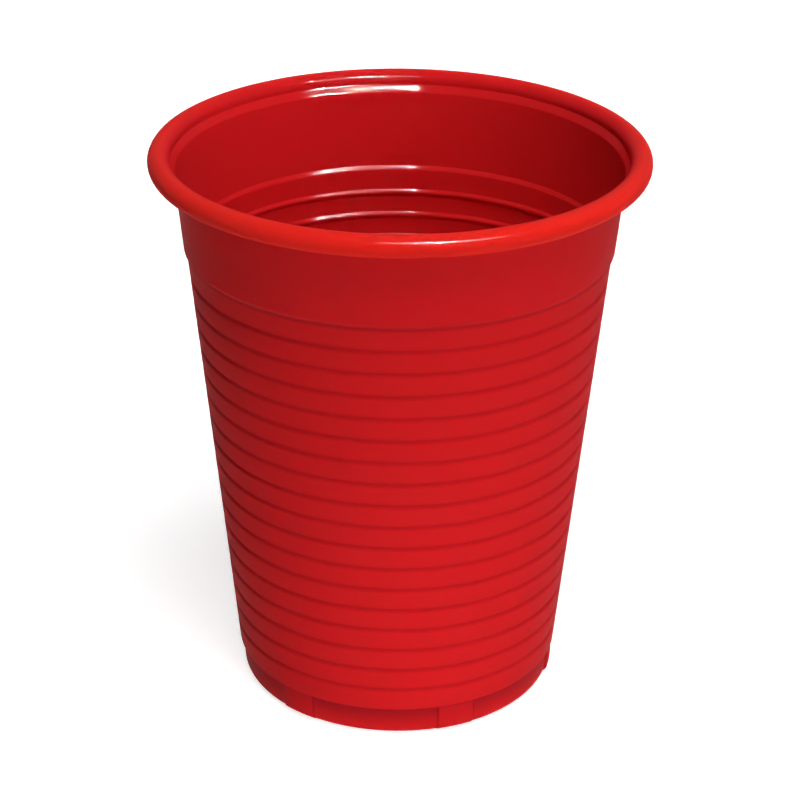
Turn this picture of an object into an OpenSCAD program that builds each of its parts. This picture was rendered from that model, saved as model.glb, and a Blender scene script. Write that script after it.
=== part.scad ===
// Mouth rinse cup: one formed plastic sheet with a rolled rim, a ringed wall and a foot with stacking lugs.
// Millimetres, +Z up. The origin is the centre of the plane that the foot stands on.
// The cup is the outer form less the same form set in by the sheet's thickness, with the bead rolled on top.

/* [Cup] */
// Height over the rolled rim
cup_h = 82; // [76:0.5:95]
// Outer diameter of the rolled rim
rim_d = 70.3; // [66:0.1:78]
// Lean of the wall from upright, in degrees
wall_lean = 5.8; // [4.5:0.1:7]
// Thickness of the formed sheet
sheet_t = 0.25; // [0.2:0.01:0.35]

/* [Rolled rim] */
// Outer diameter of the bead
bead_d = 3.1; // [2.4:0.05:3.6]
// Angle that the sheet turns through as it rolls into the bead
bead_turn = 305; // [240:5:320]
// Height of the upright collar under the middle of the bead
collar_h = 0.4; // [0.3:0.05:1]
// Width of the sloping seat between the collar and the wall
seat_w = 0.7; // [0.5:0.05:1.2]
// Height of the sloping seat
seat_h = 1.05; // [0.7:0.05:1.4]

/* [Wall] */
// Height of the plain band, from the top of the cup down to the shoulder
band_h = 14.8; // [12:0.1:20]
// Distance that the wall steps in at the shoulder
shoulder_w = 0.35; // [0.2:0.05:0.8]
// Height of the shoulder
shoulder_h = 0.6; // [0.4:0.05:1.2]
// Number of grooves round the wall
groove_count = 17; // [10:1:19]
// Depth of a groove
groove_depth = 0.3; // [0.15:0.05:0.4]
// Width of a groove between its two lips
groove_w = 1; // [0.9:0.05:1.4]
// Radius of a groove's round bottom
groove_r = 0.25; // [0.15:0.05:0.3]

/* [Foot] */
// Height of the foot, from the ground up to the end of the wall
foot_h = 4.7; // [3.8:0.1:6]
// Distance that the foot is set back from the wall
foot_inset = 0.7; // [0.6:0.05:1]
// Lean of the foot from upright, in degrees
foot_lean = 1.7; // [0:0.1:3]
// Height of the small step from the wall to the foot
step_h = 0.35; // [0.25:0.05:0.6]
// Radius of the foot's lower edge
foot_edge_r = 1.5; // [1:0.05:2]
// Width of the flat ring that the cup stands on
foot_ring_w = 2; // [1.5:0.1:3]
// Height of the raised base over the ground
base_rise = 2.8; // [1.5:0.1:3.5]
// Lean of the small wall up to the raised base, in degrees
riser_lean = 15; // [5:1:30]

/* [Stacking lugs] */
// Number of lugs round the foot
lug_count = 6; // [3:1:8]
// Width of a lug along the foot
lug_w = 5.5; // [3:0.1:8]
// Distance that a lug stands out from the foot
lug_proud = 0.45; // [0.3:0.05:0.5]
// Angle of the first lug's middle from the +X axis, in degrees
lug_turn = 52; // [0:1:120]

/* [Hidden] */
$fn = 96;
// Faces in the quarter of a rounded corner
corner_steps = 4;
// Radii of the soft corners that forming leaves
soft_r = 0.5;
fine_r = 0.3;
lip_r = 0.5;
lug_edge_r = 1.2;
// Ground clearance of a lug, how far it runs up behind the wall, and where it starts inside the foot
lug_lift = 0.2;
lug_run_up = 0.6;
lug_root = 0.5;
// Run of the inner form past the top, so that the cup is open there
open_over = 1;

bead_r = bead_d / 2;
bead_x = rim_d / 2 - bead_r;
bead_z = cup_h - bead_r;
collar_r = rim_d / 2 - bead_d + sheet_t;
seat_top_z = bead_z - collar_h;
seat_low_z = seat_top_z - seat_h;
band_top_r = collar_r - seat_w;
shoulder_z = cup_h - band_h;
wall_slope = tan(wall_lean);
groove_pitch = (shoulder_z - foot_h) / (groove_count + 1);
foot_low_r = wall_r(foot_h) - foot_inset;
ring_in_r = foot_low_r - foot_edge_r - foot_ring_w;
recess_r = ring_in_r - base_rise * tan(riser_lean);
lug_r = foot_low_r + lug_proud;

// Radius of the outer face of the plain band and of the ringed wall, at height z
function band_r(z) = band_top_r - (seat_low_z - z) * wall_slope;
function wall_r(z) = band_r(z) - shoulder_w;
// Radius that a face leaning by the foot's angle gains over a height z
function foot_gain(z) = z * tan(foot_lean);

function unit(v) = v / norm(v);
function left_of(v) = [-v[1], v[0]];

// A path is a list of [r, z, corner radius]. Its left side is the inside of the form.
function place(c) = [c[0], c[1]];
function heading(path, i) = unit(place(path[i + 1]) - place(path[i]));

// Corner i moved by d to the left of the path, with a mitre. Both ends move straight off their one side.
function set_in(path, d) = [
    for (i = [0 : len(path) - 1])
        let (
            a = left_of(heading(path, max(i - 1, 0))),
            b = left_of(heading(path, min(i, len(path) - 2))),
            turns_left = cross(heading(path, max(i - 1, 0)), heading(path, min(i, len(path) - 2))) > 0,
            r = path[i][2],
            p = place(path[i]) + 2 * d * (a + b) / ((a + b) * (a + b))
        )
        [p[0], p[1], r == 0 ? 0 : max(r + (turns_left ? -d : d), 0.05)]
];

// Points of a path, with an arc at each corner that has a radius
function rounded(path) = [
    for (i = [0 : len(path) - 1])
        if (path[i][2] == 0)
            place(path[i])
        else
            let (
                a = heading(path, i - 1),
                b = heading(path, i),
                side = cross(a, b) > 0 ? 1 : -1,
                turn = acos(a * b),
                steps = ceil(turn / 90 * corner_steps),
                start = place(path[i]) - a * path[i][2] * tan(turn / 2),
                middle = start + side * left_of(a) * path[i][2]
            )
            each [
                for (k = [0 : steps])
                    let (t = turn * k / steps)
                    middle + path[i][2] * (a * sin(t) - side * left_of(a) * cos(t))
            ]
];

// Three corners of the groove at height z: the lower lip, the bottom and the upper lip
function groove_corners(z) =
    let (
        middle = [wall_r(z), z],
        along = [sin(wall_lean), cos(wall_lean)],
        low = middle - along * groove_w / 2,
        bottom = middle + left_of(along) * groove_depth,
        high = middle + along * groove_w / 2
    )
    [[low[0], low[1], lip_r], [bottom[0], bottom[1], groove_r], [high[0], high[1], lip_r]];

// Outer face of the sheet, from the middle of the base to the collar under the bead
form_path = [
    [0, base_rise, 0],
    [recess_r, base_rise, soft_r],
    [ring_in_r, 0, soft_r],
    [foot_low_r, 0, foot_edge_r],
    [foot_low_r + foot_gain(foot_h - step_h), foot_h - step_h, fine_r],
    [wall_r(foot_h), foot_h, fine_r],
    for (i = [groove_count : -1 : 1]) each groove_corners(shoulder_z - i * groove_pitch),
    [wall_r(shoulder_z), shoulder_z, soft_r],
    [band_r(shoulder_z + shoulder_h), shoulder_z + shoulder_h, soft_r],
    [band_top_r, seat_low_z, soft_r],
    [collar_r, seat_top_z, fine_r],
    [collar_r, bead_z, 0]
];

lug_path = [
    [foot_low_r - foot_edge_r - lug_root, lug_lift, 0],
    [lug_r, lug_lift, lug_edge_r],
    [lug_r + foot_gain(foot_h + lug_run_up), foot_h + lug_run_up, 0]
];

// Filled turned shape of the cup, set in by a distance
module turned_form(inset, over) {
    outline = rounded(set_in(form_path, inset));
    rotate_extrude()
        polygon(concat(
            outline,
            over > 0 ? [[collar_r - inset, bead_z + over]] : [],
            [[0, bead_z + over]]
        ));
}

// Filled shape of one lug, centred on the +X axis
module lug(inset) {
    outline = rounded(set_in(lug_path, inset));
    half_angle = asin((lug_w / 2 - inset) / lug_r);
    rotate_extrude(angle = 2 * half_angle, start = -half_angle)
        polygon(concat(outline, [[outline[0][0], foot_h + lug_run_up]]));
}

module form(inset, over) {
    turned_form(inset, over);
    for (i = [0 : lug_count - 1])
        rotate([0, 0, lug_turn + i * 360 / lug_count])
            lug(inset);
}

// The sheet rolled outwards and under, from the top of the collar to its free edge
module bead() {
    open_angle = 180 - bead_turn;
    reach = bead_d;
    rotate_extrude()
        translate([bead_x, bead_z])
            difference() {
                circle(r = bead_r);
                circle(r = bead_r - sheet_t);
                polygon([
                    [0, 0],
                    [-reach, 0],
                    [-reach, -reach],
                    if (open_angle > -90) [0, -reach],
                    reach * [cos(open_angle), sin(open_angle)]
                ]);
            }
}

module cup() {
    color([0.78, 0.07, 0.09])
        union() {
            difference() {
                form(0, 0);
                form(sheet_t, open_over);
            }
            bead();
        }
}

cup();
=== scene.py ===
"""Looks of the mouth rinse cup: one formed sheet of red plastic with a rolled rim, ring grooves and stacking lugs.

Metres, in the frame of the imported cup: +Z up, the foot stands on z = 0, and the camera looks from -Y.
"""

import math

import bpy
from mathutils import Matrix, Vector


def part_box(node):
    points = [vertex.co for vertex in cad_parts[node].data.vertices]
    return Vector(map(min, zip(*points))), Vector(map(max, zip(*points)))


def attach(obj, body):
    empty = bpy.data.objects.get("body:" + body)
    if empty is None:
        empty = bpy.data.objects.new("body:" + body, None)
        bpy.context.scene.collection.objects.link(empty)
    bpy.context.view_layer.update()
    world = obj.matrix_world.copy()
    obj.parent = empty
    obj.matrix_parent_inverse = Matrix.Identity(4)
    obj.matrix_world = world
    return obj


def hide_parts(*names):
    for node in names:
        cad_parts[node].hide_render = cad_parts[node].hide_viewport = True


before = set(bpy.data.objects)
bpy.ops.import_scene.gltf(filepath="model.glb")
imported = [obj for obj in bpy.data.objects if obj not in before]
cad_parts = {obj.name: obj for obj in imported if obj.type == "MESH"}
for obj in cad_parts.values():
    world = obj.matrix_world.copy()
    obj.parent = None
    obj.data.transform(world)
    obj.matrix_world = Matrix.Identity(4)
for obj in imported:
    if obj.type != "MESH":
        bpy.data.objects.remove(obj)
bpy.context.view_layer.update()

MM = 0.001
cup_low, cup_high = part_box("cup")

# What keeps the smooth cup inside the box of the faceted solid
INSIDE_BOX_Z = 0.002 * MM
INSIDE_BOX_R = 0.006 * MM

# Sizes of the sheet, which repeat the ones that the solid is made by
CUP_H = cup_high.z - INSIDE_BOX_Z
RIM_R = cup_high.x - INSIDE_BOX_R
SHEET_T = 0.25 * MM
WALL_LEAN = math.radians(5.8)
BEAD_R = 1.55 * MM
BEAD_TURN = math.radians(305)
COLLAR_H = 0.4 * MM
SEAT_W = 0.7 * MM
SEAT_H = 1.05 * MM
BAND_H = 14.8 * MM
SHOULDER_W = 0.35 * MM
SHOULDER_H = 0.6 * MM
GROOVES = 17
GROOVE_DEPTH = 0.3 * MM
GROOVE_HALF = 0.5 * MM
GROOVE_R = 0.25 * MM
LIP_R = 0.5 * MM
FOOT_H = 4.7 * MM
FOOT_INSET = 0.7 * MM
FOOT_LEAN = math.radians(1.7)
STEP_H = 0.35 * MM
FOOT_EDGE_R = 1.5 * MM
FOOT_RING_W = 2.0 * MM
BASE_RISE = 2.8 * MM
RISER_LEAN = math.radians(15)
LUGS = 6
LUG_W = 5.5 * MM
LUG_EDGE = 0.4 * MM
LUG_PROUD = 0.34 * MM
LUG_TURN = math.radians(52)

# Radii of the soft corners that forming leaves, and how far the bead's free edge is rounded, as a share of the sheet
BASE_CORNER_R = 0.6 * MM
STEP_LOW_R = 0.3 * MM
STEP_HIGH_R = 0.35 * MM
SOFT_R = 0.5 * MM
COLLAR_CORNER_R = 0.3 * MM
TIP_SHARE = 0.4

BEAD_X = RIM_R - BEAD_R
BEAD_Z = CUP_H - BEAD_R
COLLAR_R = RIM_R - 2 * BEAD_R + SHEET_T
SEAT_TOP = BEAD_Z - COLLAR_H
SEAT_LOW = SEAT_TOP - SEAT_H
SHOULDER_Z = CUP_H - BAND_H
SHOULDER_TOP = SHOULDER_Z + SHOULDER_H
GROOVE_PITCH = (SHOULDER_Z - FOOT_H) / (GROOVES + 1)


def band_r(z):
    return COLLAR_R - SEAT_W - (SEAT_LOW - z) * math.tan(WALL_LEAN)


def wall_r(z):
    return band_r(z) - SHOULDER_W


FOOT_R = wall_r(FOOT_H) - FOOT_INSET
RING_IN_R = FOOT_R - FOOT_EDGE_R - FOOT_RING_W
RECESS_R = RING_IN_R - BASE_RISE * math.tan(RISER_LEAN)

# Where the shade under the wall's end runs out on the foot, and how strong the shades are in each place
FOOT_SHADE_LOW = 2.4 * MM
GROOVE_SHADE = 0.56
SHOULDER_SHADE = 0.85
SHADE_STRENGTH = 0.75
LUG_CLEARS_SHADE = 0.6
LUG_EDGE_SHADE = 0.7

# Reds of the plastic, the factor that paints shade onto it, and the paler red of a scratch
DEEP_RED = (0.63, 0.009, 0.0155, 1)
BRIGHT_RED = (0.72, 0.016, 0.0165, 1)
BEAD_RED = (0.82, 0.020, 0.014, 1)
PAINTED_SHADE_TINT = (0.45, 0.5, 0.75, 1)
SCRATCH_RED = (0.82, 0.07, 0.05, 1)

# Heights between which the sheet gets clearer towards the foot
CLEAR_HIGH = 32 * MM
CLEAR_LOW = 16 * MM

FLOOR_HALF = 3.0
FLOOR_GAP = 0.05 * MM
FLOOR_LIFT = 0.76
ROOM_LIGHT = 0.012
LAMP_DISTANCE = 0.9

# How finely the sheet is drawn
ARC_STEP = math.radians(13)
BEAD_STEP = math.radians(10)
GAP_STATIONS = 8
EDGE_STATIONS = 3
LUG_STATIONS = 3
JOIN_DISTANCE = 0.002 * MM


def softened(corners):
    """Points (r, z) along corners (r, z, radius), with an arc where the radius isn't zero."""
    points = []
    for i, (r, z, radius) in enumerate(corners):
        here = Vector((r, z))
        if radius == 0:
            points.append(here)
            continue
        a = (here - Vector(corners[i - 1][:2])).normalized()
        b = (Vector(corners[i + 1][:2]) - here).normalized()
        turn = math.atan2(a.x * b.y - a.y * b.x, a.dot(b))
        side = 1 if turn > 0 else -1
        middle = here - a * radius * math.tan(abs(turn) / 2) + side * radius * Vector((-a.y, a.x))
        steps = max(2, math.ceil(abs(turn) / ARC_STEP))
        for k in range(steps + 1):
            t = abs(turn) * k / steps
            points.append(middle + radius * (a * math.sin(t) - side * Vector((-a.y, a.x)) * math.cos(t)))
    return points


def groove_corners(z):
    """Corners of one groove in the wall at height z, from its lower lip to its upper one."""
    along = Vector((math.sin(WALL_LEAN), math.cos(WALL_LEAN)))
    inward = Vector((-along.y, along.x))
    middle = Vector((wall_r(z), z))
    return [
        (*(middle - along * GROOVE_HALF), LIP_R),
        (*(middle + inward * GROOVE_DEPTH), GROOVE_R),
        (*(middle + along * GROOVE_HALF), LIP_R),
    ]


def outer_line():
    """The outer face of the sheet from the middle of the base, up the wall and on through the rolled bead."""
    foot_top_r = FOOT_R + (FOOT_H - STEP_H) * math.tan(FOOT_LEAN)
    corners = [
        (0, BASE_RISE, 0),
        (RECESS_R, BASE_RISE, BASE_CORNER_R),
        (RING_IN_R, 0, BASE_CORNER_R),
        (FOOT_R, 0, FOOT_EDGE_R),
        (foot_top_r, FOOT_H - STEP_H, STEP_LOW_R),
        (wall_r(FOOT_H), FOOT_H, STEP_HIGH_R),
    ]
    for k in range(GROOVES, 0, -1):
        corners += groove_corners(SHOULDER_Z - k * GROOVE_PITCH)
    corners += [
        (wall_r(SHOULDER_Z - SHOULDER_H), SHOULDER_Z - SHOULDER_H, 0),
        (wall_r(SHOULDER_Z), SHOULDER_Z, SOFT_R),
        ((wall_r(SHOULDER_Z) + band_r(SHOULDER_TOP)) / 2, (SHOULDER_Z + SHOULDER_TOP) / 2, 0),
        (band_r(SHOULDER_TOP), SHOULDER_TOP, SOFT_R),
        (band_r(SEAT_LOW), SEAT_LOW, SOFT_R),
        ((band_r(SEAT_LOW) + COLLAR_R) / 2, (SEAT_LOW + SEAT_TOP) / 2, 0),
        (COLLAR_R, SEAT_TOP, COLLAR_CORNER_R),
        (COLLAR_R, BEAD_Z, 0),
    ]
    line = softened(corners)
    steps = round(BEAD_TURN / BEAD_STEP)
    for k in range(1, steps + 1):
        a = math.pi - BEAD_TURN * k / steps
        line.append(Vector((BEAD_X, BEAD_Z)) + (BEAD_R - SHEET_T) * Vector((math.cos(a), math.sin(a))))
    return line


def set_in(line, distance):
    """The line moved to its left by a distance, which is towards the inside of the cup."""
    moved = []
    for i, p in enumerate(line):
        a = (p - line[i - 1]).normalized() if i else (line[1] - p).normalized()
        b = (line[i + 1] - p).normalized() if i + 1 < len(line) else a
        n = Vector((-a.y - b.y, a.x + b.x))
        moved.append(p + n * 2 * distance / n.length_squared)
    moved[0].x = 0
    return moved


def lug_share(r, z, inset):
    """How far a point of the sheet follows a lug outwards: fully on the foot, and less where foot and wall meet."""
    if z > FOOT_H + SHEET_T or r < RING_IN_R:
        return 0.0
    low_r = FOOT_R - FOOT_EDGE_R
    high_r = FOOT_R + (FOOT_H - STEP_H) * math.tan(FOOT_LEAN) - inset
    from_ring = max(0.0, (r - low_r) / (FOOT_R - inset - low_r)) ** 2
    from_wall = (wall_r(FOOT_H) - inset - r) / (wall_r(FOOT_H) - inset - high_r)
    return max(0.0, min(1.0, from_ring, from_wall))


def painted_shade_strength(r, z):
    """How strong the painted shade is on the outer face: partly in the grooves and at the shoulder, fully under the
    wall's end.
    """
    ringed = FOOT_H + GROOVE_HALF < z < SHOULDER_Z - GROOVE_HALF
    groove = GROOVE_SHADE * (wall_r(z) - r) / GROOVE_DEPTH if ringed else 0.0
    shoulder = SHOULDER_SHADE * (1.0 - abs(z - SHOULDER_Z) / SHOULDER_H)
    foot = (z - FOOT_SHADE_LOW) / (FOOT_H - STEP_H - FOOT_SHADE_LOW) if z < FOOT_H else 0.0
    return max(0.0, min(1.0, max(groove, shoulder, foot)))


def section_mesh():
    """The closed section of the sheet as a string of edges in the XZ plane."""
    outside = outer_line()
    inside = set_in(outside, SHEET_T)
    tip = (outside[-1] + inside[-1]) / 2
    tip_out = (inside[-1] - inside[-2]).normalized() * SHEET_T * TIP_SHARE
    # Each outer point carries the strength of the shade painted there; the inner face gets none
    outline = [(p, lug_share(p.x, p.y, 0), painted_shade_strength(p.x, p.y)) for p in outside]
    outline.append((tip + tip_out, 0.0, 0.0))
    outline += [(p, lug_share(p.x, p.y, SHEET_T), 0.0) for p in reversed(inside)]
    mesh = bpy.data.meshes.new("cup_section")
    mesh.from_pydata([(p.x, 0, p.y) for p, _, _ in outline], [(i, i + 1) for i in range(len(outline) - 1)], [])
    share = mesh.attributes.new("lug_share", "FLOAT", "POINT")
    painted_shade = mesh.attributes.new("painted_shade", "FLOAT", "POINT")
    for i, (_, on_lug, painted_shade_here) in enumerate(outline):
        share.data[i].value = on_lug
        painted_shade.data[i].value = painted_shade_here
    return mesh


def put(tree, kind, *values, **settings):
    """Adds a node, applies its settings, and sets or links its inputs in order. None leaves an input alone."""
    node = tree.nodes.new(kind)
    for name, value in settings.items():
        setattr(node, name, value)
    sockets = [s for s in node.inputs if s.enabled]
    for socket, value in zip(sockets, values):
        if isinstance(value, bpy.types.NodeSocket):
            tree.links.new(value, socket)
        elif value is not None:
            socket.default_value = value
    return node


def first(node):
    return next(s for s in node.outputs if s.enabled)


def maths(tree, operation, *values):
    return first(put(tree, "ShaderNodeMath", *values, operation=operation))


TURNING_INPUTS = {
    "Lugs": ("NodeSocketInt", LUGS),
    "First lug": ("NodeSocketFloat", LUG_TURN),
    "Lug angle": ("NodeSocketFloat", LUG_W / FOOT_R),
    "Edge angle": ("NodeSocketFloat", LUG_EDGE / FOOT_R),
    "Lug proud": ("NodeSocketFloat", LUG_PROUD),
    "Shade cleared": ("NodeSocketFloat", LUG_CLEARS_SHADE),
    "Edge shade": ("NodeSocketFloat", LUG_EDGE_SHADE),
    "Join distance": ("NodeSocketFloat", JOIN_DISTANCE),
    "Gap stations": ("NodeSocketInt", GAP_STATIONS),
    "Edge stations": ("NodeSocketInt", EDGE_STATIONS),
    "Lug stations": ("NodeSocketInt", LUG_STATIONS),
    "Plastic": ("NodeSocketMaterial", None),
}


def turning_tree():
    """Turns a section round the Z axis and draws the stacking lugs out of its foot."""
    tree = bpy.data.node_groups.new("turned_cup", "GeometryNodeTree")
    tree.interface.new_socket("Geometry", in_out="INPUT", socket_type="NodeSocketGeometry")
    tree.interface.new_socket("Geometry", in_out="OUTPUT", socket_type="NodeSocketGeometry")
    for name, (kind, _) in TURNING_INPUTS.items():
        tree.interface.new_socket(name, in_out="INPUT", socket_type=kind)
    given = tree.nodes.new("NodeGroupInput").outputs

    def m(operation, *values):
        return maths(tree, operation, *values)

    def eased(value, low, high, interpolation="LINEAR"):
        """Goes from 0 to 1 as value goes from low to high."""
        node = put(tree, "ShaderNodeMapRange", value, low, high, 0.0, 1.0, interpolation_type=interpolation)
        return node.outputs["Result"]

    rows = put(tree, "GeometryNodeAttributeDomainSize", given["Geometry"]).outputs["Point Count"]
    gap_end = given["Gap stations"]
    edge_end = m("ADD", gap_end, given["Edge stations"])
    lug_end = m("ADD", edge_end, given["Lug stations"])
    edge2_end = m("ADD", lug_end, given["Edge stations"])
    per_lug = m("ADD", edge2_end, gap_end)
    stations = m("ADD", m("MULTIPLY", per_lug, given["Lugs"]), 1)
    grid = put(tree, "GeometryNodeMeshGrid", 1.0, 1.0, stations, rows).outputs["Mesh"]

    index = first(put(tree, "GeometryNodeInputIndex"))
    station = m("FLOOR", m("DIVIDE", m("ADD", index, 0.5), rows))
    row = m("SUBTRACT", index, m("MULTIPLY", station, rows))
    lug = m("FLOOR", m("DIVIDE", m("ADD", station, 0.5), per_lug))
    step = m("SUBTRACT", station, m("MULTIPLY", lug, per_lug))

    # The stations are close together at a lug's two edges and wide apart elsewhere
    pitch = m("DIVIDE", math.tau, given["Lugs"])
    gap_angle = m("MULTIPLY", m("SUBTRACT", m("SUBTRACT", pitch, given["Lug angle"]), given["Edge angle"]), 0.5)
    top_angle = m("SUBTRACT", given["Lug angle"], given["Edge angle"])
    parts = [
        (0.0, gap_end, gap_angle),
        (gap_end, edge_end, given["Edge angle"]),
        (edge_end, lug_end, top_angle),
        (lug_end, edge2_end, given["Edge angle"]),
        (edge2_end, per_lug, gap_angle),
    ]
    angle = m("ADD", m("MULTIPLY", m("SUBTRACT", lug, 0.5), pitch), given["First lug"])
    for low, high, share in parts:
        angle = m("ADD", angle, m("MULTIPLY", eased(step, low, high), share))
    on_lug = m("SUBTRACT", eased(step, gap_end, edge_end, "SMOOTHSTEP"), eased(step, lug_end, edge2_end, "SMOOTHSTEP"))

    def at_row(value, kind):
        node = put(tree, "GeometryNodeSampleIndex", data_type=kind, domain="POINT")
        tree.links.new(given["Geometry"], node.inputs["Geometry"])
        tree.links.new(value, next(s for s in node.inputs if s.enabled and s.name == "Value"))
        tree.links.new(row, node.inputs["Index"])
        return first(node)

    place = at_row(first(put(tree, "GeometryNodeInputPosition")), "FLOAT_VECTOR")
    share = at_row(first(put(tree, "GeometryNodeInputNamedAttribute", "lug_share", data_type="FLOAT")), "FLOAT")
    x, _, z = put(tree, "ShaderNodeSeparateXYZ", place).outputs
    r = m("ADD", x, m("MULTIPLY", m("MULTIPLY", share, on_lug), given["Lug proud"]))
    target = put(tree, "ShaderNodeCombineXYZ", m("MULTIPLY", r, m("COSINE", angle)), m("MULTIPLY", r, m("SINE", angle)), z)

    turned = put(tree, "GeometryNodeSetPosition", grid, None, first(target))
    # Painted shade: carried round from the section, cleared on the lug tops, and painted as a dark line along the
    # lugs' edges
    painted_shade = at_row(first(put(tree, "GeometryNodeInputNamedAttribute", "painted_shade", data_type="FLOAT")), "FLOAT")
    lug_here = m("MULTIPLY", share, on_lug)
    # Four times a share times its rest peaks at 1, halfway up a lug's edge, where the painted dark line is strongest
    halfway = m("MULTIPLY", m("SUBTRACT", 1.0, on_lug), 4.0)
    painted_edge_line = m("MULTIPLY", m("MULTIPLY", lug_here, halfway), given["Edge shade"])
    kept = m("SUBTRACT", 1.0, m("MULTIPLY", lug_here, given["Shade cleared"]))
    shade = m("ADD", m("MULTIPLY", painted_shade, kept), painted_edge_line)
    shaded = put(tree, "GeometryNodeStoreNamedAttribute", data_type="FLOAT", domain="POINT")
    tree.links.new(first(turned), shaded.inputs["Geometry"])
    shaded.inputs["Name"].default_value = "painted_shade"
    tree.links.new(shade, next(s for s in shaded.inputs if s.enabled and s.name == "Value"))
    merged = put(tree, "GeometryNodeMergeByDistance", first(shaded))
    tree.links.new(given["Join distance"], merged.inputs["Distance"])
    smooth = put(tree, "GeometryNodeSetShadeSmooth", first(merged))
    real = put(tree, "GeometryNodeRealizeInstances", first(smooth))
    painted = put(tree, "GeometryNodeSetMaterial", first(real))
    tree.links.new(given["Plastic"], painted.inputs["Material"])
    put(tree, "NodeGroupOutput", first(painted))
    return tree


def turned_cup(plastic):
    """The whole cup as one closed mesh."""
    maker = bpy.data.objects.new("cup_maker", section_mesh())
    bpy.context.collection.objects.link(maker)
    turning = maker.modifiers.new("turning", "NODES")
    turning.node_group = turning_tree()
    for item in turning.node_group.interface.items_tree:
        if item.in_out == "INPUT" and item.name in TURNING_INPUTS:
            value = TURNING_INPUTS[item.name][1]
            turning[item.identifier] = plastic if value is None else value
    seen = maker.evaluated_get(bpy.context.evaluated_depsgraph_get())
    mesh = bpy.data.meshes.new_from_object(seen)
    mesh.name = "formed_cup"
    bpy.data.objects.remove(maker)
    cup = bpy.data.objects.new("formed_cup", mesh)
    bpy.context.collection.objects.link(cup)
    return cup


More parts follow.
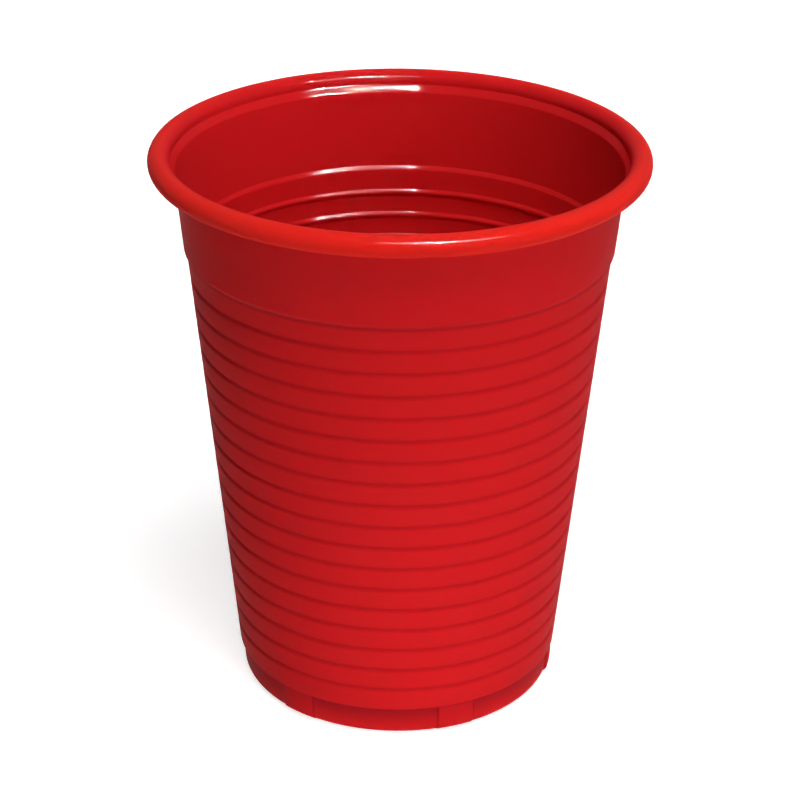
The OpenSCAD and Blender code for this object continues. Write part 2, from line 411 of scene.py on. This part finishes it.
def red_plastic():
    """Glossy red plastic sheet that lets some light through."""
    material = bpy.data.materials.new("red_formed_plastic")
    material.use_nodes = True
    tree = material.node_tree
    shader = tree.nodes["Principled BSDF"]

    def add(kind, *values, **settings):
        return put(tree, kind, *values, **settings)

    place = tree.nodes.new("ShaderNodeTexCoord").outputs["Object"]
    flow = first(add("ShaderNodeMapping", place, None, None, (1, 1, 0.35)))

    cloud = add("ShaderNodeTexNoise", flow, None, 90.0, 4.0, 0.55).outputs["Fac"]
    grain = add("ShaderNodeTexNoise", place, None, 2600.0, 2.0, 0.6).outputs["Fac"]
    tone = maths(tree, "ADD", maths(tree, "MULTIPLY", cloud, 0.65), maths(tree, "MULTIPLY", grain, 0.35))
    ramp = add("ShaderNodeValToRGB", tone)
    ramp.color_ramp.elements[0].position = 0.3
    ramp.color_ramp.elements[0].color = DEEP_RED
    ramp.color_ramp.elements[1].position = 0.7
    ramp.color_ramp.elements[1].color = BRIGHT_RED

    # The bead is a double thickness of the sheet, so less light is lost in it and it looks more orange
    x, y, z = add("ShaderNodeSeparateXYZ", place).outputs
    from_axis = maths(tree, "SQRT", maths(tree, "ADD", maths(tree, "MULTIPLY", x, x), maths(tree, "MULTIPLY", y, y)))
    in_bead = add("ShaderNodeMapRange", from_axis, COLLAR_R, COLLAR_R + BEAD_R, 0.0, 1.0).outputs["Result"]
    both = add("ShaderNodeMix", data_type="RGBA")
    tree.links.new(in_bead, both.inputs["Factor"])
    tree.links.new(ramp.outputs["Color"], both.inputs["A"])
    both.inputs["B"].default_value = BEAD_RED
    # Painted shade: the red is darkened where the stored shade says, in the grooves, at the shoulder, under the wall's
    # end and along the lugs' edges
    painted_shade = tree.nodes.new("ShaderNodeAttribute")
    painted_shade.attribute_name = "painted_shade"
    painted_shade_mix = add("ShaderNodeMix", data_type="RGBA", blend_type="MULTIPLY")
    tree.links.new(maths(tree, "MULTIPLY", painted_shade.outputs["Fac"], SHADE_STRENGTH), painted_shade_mix.inputs["Factor"])
    tree.links.new(both.outputs["Result"], painted_shade_mix.inputs["A"])
    painted_shade_mix.inputs["B"].default_value = PAINTED_SHADE_TINT

    # Fine scratches where a slow noise lets them, drawn where a stretched noise crosses its middle value
    slanted = first(add("ShaderNodeMapping", place, None, (0.6, 0.3, 0.9), (1, 2.2, 0.6)))
    lines = add("ShaderNodeTexNoise", slanted, None, 210.0, 1.0)
    near_middle = maths(tree, "ABSOLUTE", maths(tree, "SUBTRACT", lines.outputs["Fac"], 0.5))
    line = add("ShaderNodeMapRange", near_middle, 0.0, 0.016, 1.0, 0.0).outputs["Result"]
    where = add("ShaderNodeTexNoise", place, None, 120.0, 1.0).outputs["Fac"]
    sparse = add("ShaderNodeMapRange", where, 0.63, 0.68, 0.0, 0.6).outputs["Result"]
    scratch = maths(tree, "MULTIPLY", line, sparse)
    worn = add("ShaderNodeMix", data_type="RGBA")
    tree.links.new(scratch, worn.inputs["Factor"])
    tree.links.new(painted_shade_mix.outputs["Result"], worn.inputs["A"])
    worn.inputs["B"].default_value = SCRATCH_RED
    tree.links.new(worn.outputs["Result"], shader.inputs["Base Color"])

    swell = add("ShaderNodeTexNoise", place, None, 160.0, 2.0, 0.5).outputs["Fac"]
    skin = add("ShaderNodeBump", 0.25, 0.00004)
    tree.links.new(swell, skin.inputs["Height"])
    fine = add("ShaderNodeBump", 0.15, 0.000008)
    tree.links.new(grain, fine.inputs["Height"])
    tree.links.new(skin.outputs["Normal"], fine.inputs["Normal"])
    tree.links.new(fine.outputs["Normal"], shader.inputs["Normal"])

    rough = add("ShaderNodeMapRange", swell, 0.3, 0.7, 0.10, 0.16)
    tree.links.new(rough.outputs["Result"], shader.inputs["Roughness"])
    shader.inputs["IOR"].default_value = 1.2
    shader.inputs["Specular IOR Level"].default_value = 0.0
    # The sheet was drawn thinner towards the foot, so it is clearer there
    clear = add("ShaderNodeMapRange", z, CLEAR_HIGH, CLEAR_LOW, 0.02, 0.05, interpolation_type="SMOOTHSTEP")
    tree.links.new(clear.outputs["Result"], shader.inputs["Transmission Weight"])
    shader.inputs["Subsurface Weight"].default_value = 0.6
    shader.inputs["Subsurface Radius"].default_value = (1.0, 0.3, 0.3)
    shader.inputs["Subsurface Scale"].default_value = 0.25 * MM
    shader.inputs["Coat Weight"].default_value = 0.032
    shader.inputs["Coat Roughness"].default_value = 0.03
    return material


def white_to_view(tree):
    """1 for the rays that show the background: straight from the camera, mirrored, or through the sheet."""
    path = tree.nodes.new("ShaderNodeLightPath").outputs
    mirrored = maths(tree, "MAXIMUM", path["Is Camera Ray"], path["Is Glossy Ray"])
    return maths(tree, "MAXIMUM", mirrored, path["Is Transmission Ray"])


def pale_floor():
    """A white floor, lifted a little where it is seen, that keeps the cup's soft shadow."""
    material = bpy.data.materials.new("white_floor")
    material.use_nodes = True
    tree = material.node_tree
    tree.nodes.clear()
    paper = put(tree, "ShaderNodeBsdfDiffuse", (0.8, 0.8, 0.8, 1))
    glow = put(tree, "ShaderNodeEmission", (1, 1, 1, 1), maths(tree, "MULTIPLY", white_to_view(tree), FLOOR_LIFT))
    both = put(tree, "ShaderNodeAddShader", first(paper), first(glow))
    out = tree.nodes.new("ShaderNodeOutputMaterial")
    tree.links.new(first(both), out.inputs["Surface"])
    mesh = bpy.data.meshes.new("floor")
    x = y = FLOOR_HALF
    mesh.from_pydata([(-x, -y, 0), (x, -y, 0), (x, y, 0), (-x, y, 0)], [], [(0, 1, 2, 3)])
    mesh.materials.append(material)
    floor = bpy.data.objects.new("floor", mesh)
    bpy.context.collection.objects.link(floor)
    floor.location.z = -FLOOR_GAP


def studio_world():
    """White where it is seen, and a dim room as a source of light."""
    world = bpy.data.worlds.new("studio")
    bpy.context.scene.world = world
    world.use_nodes = True
    tree = world.node_tree
    strength = put(tree, "ShaderNodeMapRange", white_to_view(tree), 0.0, 1.0, ROOM_LIGHT, 1.0).outputs["Result"]
    tree.links.new(strength, tree.nodes["Background"].inputs["Strength"])
    tree.nodes["Background"].inputs["Color"].default_value = (1, 1, 1, 1)


def softbox(name, azimuth, elevation, width, height, watts, lights=True, shines=True, distance=LAMP_DISTANCE):
    """An area lamp that faces the cup. Azimuth 0 is on the camera's side and 90 is to its right.

    It lights surfaces, shines in their gloss, or does both.
    """
    lamp = bpy.data.lights.new(name, "AREA")
    lamp.shape = "RECTANGLE"
    lamp.size, lamp.size_y, lamp.energy = width, height, watts
    box = bpy.data.objects.new(name, lamp)
    bpy.context.collection.objects.link(box)
    a, e = math.radians(azimuth), math.radians(elevation)
    away = Vector((math.sin(a) * math.cos(e), -math.cos(a) * math.cos(e), math.sin(e)))
    box.location = Vector((0, 0, CUP_H / 2)) + away * distance
    box.rotation_euler = away.to_track_quat("Z", "Y").to_euler()
    box.visible_camera = False
    box.visible_diffuse = lights
    box.visible_glossy = shines
    box.visible_transmission = lights


def photo_camera():
    """The camera that was fitted to the photograph's outline and grooves."""
    back, height = 336.94 * MM, 203.65 * MM
    look_down, turn, lean = math.radians(25.533), math.radians(0.04), math.radians(-0.443)
    ahead = Vector((math.sin(turn) * math.cos(look_down), math.cos(turn) * math.cos(look_down), -math.sin(look_down)))
    right = Vector((math.cos(turn), -math.sin(turn), 0))
    up = right.cross(ahead)
    lens = bpy.data.cameras.new("photo_camera")
    lens.sensor_width = 36
    lens.lens = 115.39
    camera = bpy.data.objects.new("photo_camera", lens)
    bpy.context.collection.objects.link(camera)
    side = right * math.cos(lean) - up * math.sin(lean)
    top = right * math.sin(lean) + up * math.cos(lean)
    camera.matrix_world = Matrix.Translation((0, -back, height)) @ Matrix((side, top, -ahead)).transposed().to_4x4()
    bpy.context.scene.camera = camera


photo_camera()
cup = turned_cup(red_plastic())
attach(cup, "root")
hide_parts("cup")

pale_floor()
studio_world()
softbox("low_box", 33, 12, 0.3, 0.3, 2.02, shines=False)
softbox("front_card", 4, -28, 0.06, 0.02, 0.0085, shines=False, distance=0.08)
softbox("high_box", 22, 68, 0.5, 0.5, 6.6, shines=False)
softbox("side_shine", 32, 44.5, 0.55, 0.03, 150, lights=False)
softbox("top_shine", 14, 52, 0.5, 0.035, 200, lights=False)

bpy.context.scene.view_settings.view_transform = "Standard"
